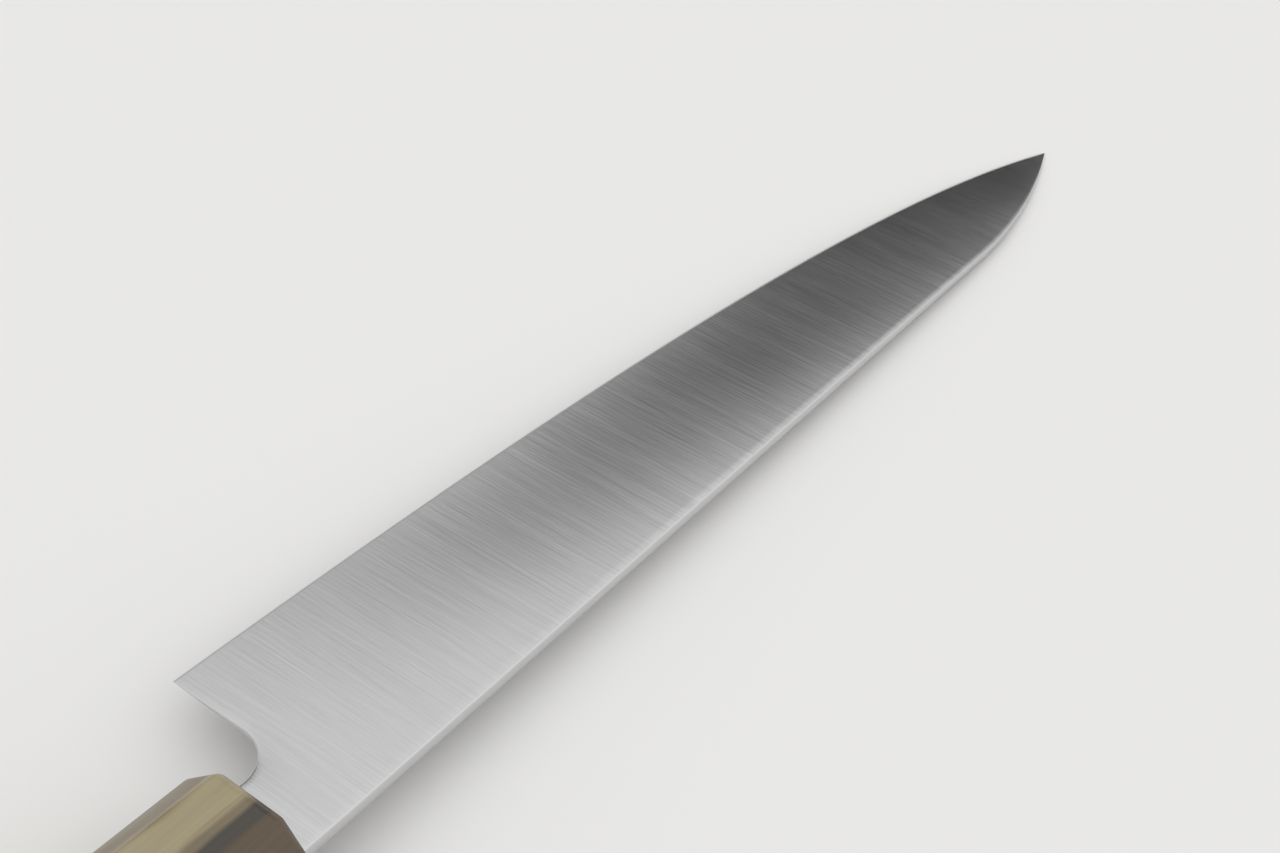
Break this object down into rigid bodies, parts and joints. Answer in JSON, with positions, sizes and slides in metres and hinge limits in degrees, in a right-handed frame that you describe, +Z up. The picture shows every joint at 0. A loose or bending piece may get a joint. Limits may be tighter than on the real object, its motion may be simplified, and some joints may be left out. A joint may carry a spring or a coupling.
{
  "type": "petty knife",
  "caption": "Slim kitchen knife with a satin two-sided blade, square heel, pale horn ferrule and plain faceted wooden grip, lying on its side.",
  "frame": {"origin": "on the surface that the knife lies on, under the middle of its bounding box", "axes": "+X from the butt towards the tip, +Y towards the cutting edge, +Z up from the surface. The knife lies on its side on the ferrule's lower front rim and the blade near its tip, so the blade's middle plane leans 2.44 degrees down towards the tip."},
  "size_m": [0.315, 0.0362, 0.0237],
  "materials": {
    "blade_steel": "satin, fine hairlines from spine to edge",
    "pale_horn": "polished, marbled",
    "grip_wood": "sanded, fine straight grain",
    "dowel_wood": "raw",
    "seal_wax": "semi-gloss"
  },
  "bodies": {
    "root": {"blade": "blade_steel", "horn_ferrule": "pale_horn", "wood_handle": "grip_wood", "joint_dowel": "dowel_wood", "mouth_seal": "seal_wax"}
  },
  "joints": []
}
